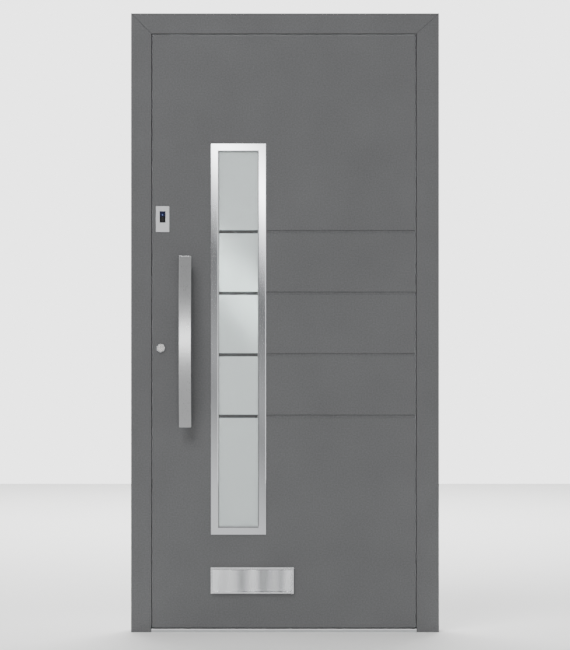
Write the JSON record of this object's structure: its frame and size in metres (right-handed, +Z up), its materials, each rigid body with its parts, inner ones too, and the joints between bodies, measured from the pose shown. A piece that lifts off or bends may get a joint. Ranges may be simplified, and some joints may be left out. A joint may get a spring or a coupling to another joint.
{
  "type": "entrance door with frame",
  "caption": "Flush aluminium entrance door in its frame, with a tall narrow satin glass light, bowed pull bar, letter plate and hook lock; opens inwards on hinges.",
  "frame": {"origin": "middle of the threshold's underside, at half the frame's depth", "axes": "+Z up, -Y towards the outside, -X towards the lock side"},
  "size_m": [1.1, 0.2119, 2.21],
  "materials": {
    "coat_outer": "fine textured powder coat",
    "coat_inner": "fine textured powder coat",
    "steel_satin": "satin brushed stainless steel",
    "zinc_steel": "bright zinc plate",
    "mill_aluminium": "mill finish",
    "anodised_aluminium": "satin anodised",
    "bare_polyamide": "glass-filled polyamide",
    "base_plastic": "glass-fibre plastic",
    "core_foam": "rigid foam",
    "seal_rubber": "matt black rubber",
    "glass_satin": "satin etched glass with clear lines",
    "glass_clear": "clear float glass",
    "spacer_bar": "satin",
    "module_plastic": "gloss black",
    "brass_nickel": "nickel-plated brass"
  },
  "bodies": {
    "frame": {"frame_head_outer": "coat_outer", "frame_head_inner": "coat_inner", "lock_jamb_outer": "coat_outer", "lock_jamb_inner": "coat_inner", "hinge_jamb_outer": "coat_outer", "hinge_jamb_inner": "coat_inner", "frame_thermal_strips": "bare_polyamide", "frame_corner_cleats": "mill_aluminium", "threshold_base": "base_plastic", "threshold_cap": "anodised_aluminium", "frame_gasket": "seal_rubber", "strike_main": "steel_satin", "strike_lower": "steel_satin", "strike_upper": "steel_satin", "hinge_frame_parts": "coat_inner", "hinge_pins": "steel_satin"},
    "leaf": {"leaf_outer_sheet": "coat_outer", "leaf_core": "core_foam", "leaf_inner_sheet": "coat_inner", "leaf_lock_stile": "coat_inner", "leaf_hinge_stile": "coat_inner", "leaf_head_rail": "coat_inner", "leaf_sill_rail": "coat_inner", "leaf_thermal_strips": "bare_polyamide", "sill_seal": "seal_rubber", "pane_outer": "glass_satin", "pane_middle": "glass_clear", "pane_inner": "glass_clear", "pane_spacers": "spacer_bar", "glazing_gaskets": "seal_rubber", "window_trim_outer": "steel_satin", "window_trim_inner": "coat_inner", "pull_bar": "steel_satin", "pull_posts": "steel_satin", "pull_studs": "steel_satin", "reader_plate": "steel_satin", "reader_module": "module_plastic", "lock_case": "zinc_steel", "lock_faceplate": "steel_satin", "hook_cases": "zinc_steel", "cylinder_body": "brass_nickel", "cylinder_rose": "steel_satin", "handle_plate": "steel_satin", "letter_frame_outer": "steel_satin", "letter_frame_inner": "steel_satin", "letter_sleeve": "mill_aluminium", "hinge_leaf_parts": "coat_inner"},
    "lever": {"lever_handle": "steel_satin", "lever_spindle": "zinc_steel", "lock_follower": "zinc_steel"},
    "latch": {"latch_bolt": "zinc_steel"},
    "deadbolt": {"dead_bolt": "zinc_steel"},
    "hook_low": {"hook_lower": "zinc_steel"},
    "hook_high": {"hook_upper": "zinc_steel"},
    "rods": {"rod_lower": "zinc_steel", "rod_upper": "zinc_steel"},
    "cylinder_rotor": {"cylinder_plug": "brass_nickel", "thumb_turn": "steel_satin"},
    "flap_outside": {"letter_flap_outer": "steel_satin"},
    "flap_inside": {"letter_flap_inner": "steel_satin"}
  },
  "joints": [
    {"name": "leaf_swing", "type": "hinge", "parent": "frame", "child": "leaf", "pos_m": [0.489, 0.054, 0], "axis": [0, 0, -1], "range_deg": [0, 110]},
    {"name": "lever_turn", "type": "hinge", "parent": "leaf", "child": "lever", "pos_m": [-0.443, 0, 1.107], "axis": [0, 1, 0], "range_deg": [0, 40], "stiffness_Nm_per_rad": 0.8, "springref_deg": -34.38},
    {"name": "latch_slide", "type": "slide", "parent": "leaf", "child": "latch", "axis": [1, 0, 0], "range_m": [0, 0.012]},
    {"name": "cylinder_turn", "type": "hinge", "parent": "leaf", "child": "cylinder_rotor", "pos_m": [-0.443, 0, 1.015], "axis": [0, 1, 0], "range_deg": [0, 360]},
    {"name": "deadbolt_slide", "type": "slide", "parent": "leaf", "child": "deadbolt", "axis": [-1, 0, 0], "range_m": [0, 0.02]},
    {"name": "hook_low_swing", "type": "hinge", "parent": "leaf", "child": "hook_low", "pos_m": [-0.47, 0.002, 0.34], "axis": [0, -1, 0], "range_deg": [0, 90]},
    {"name": "hook_high_swing", "type": "hinge", "parent": "leaf", "child": "hook_high", "pos_m": [-0.47, 0.002, 1.76], "axis": [0, -1, 0], "range_deg": [0, 90]},
    {"name": "rod_slide", "type": "slide", "parent": "leaf", "child": "rods", "axis": [0, 0, 1], "range_m": [0, 0.018]},
    {"name": "flap_outside_swing", "type": "hinge", "parent": "leaf", "child": "flap_outside", "pos_m": [-0.117, -0.0447, 0.2215], "axis": [-1, 0, 0], "range_deg": [0, 80], "stiffness_Nm_per_rad": 0.05, "springref_deg": -17.19},
    {"name": "flap_inside_swing", "type": "hinge", "parent": "leaf", "child": "flap_inside", "pos_m": [-0.117, 0.0447, 0.2215], "axis": [1, 0, 0], "range_deg": [0, 80], "stiffness_Nm_per_rad": 0.05, "springref_deg": -17.19}
  ],
  "couplings": [
    {"joint": "latch_slide", "follows": "lever_turn", "m_per_rad": 0.017189},
    {"joint": "cylinder_turn", "follows": "deadbolt_slide", "rad_per_m": 314.16},
    {"joint": "hook_low_swing", "follows": "deadbolt_slide", "rad_per_m": 78.54},
    {"joint": "hook_high_swing", "follows": "deadbolt_slide", "rad_per_m": 78.54},
    {"joint": "rod_slide", "follows": "deadbolt_slide", "ratio": 0.9}
  ]
}
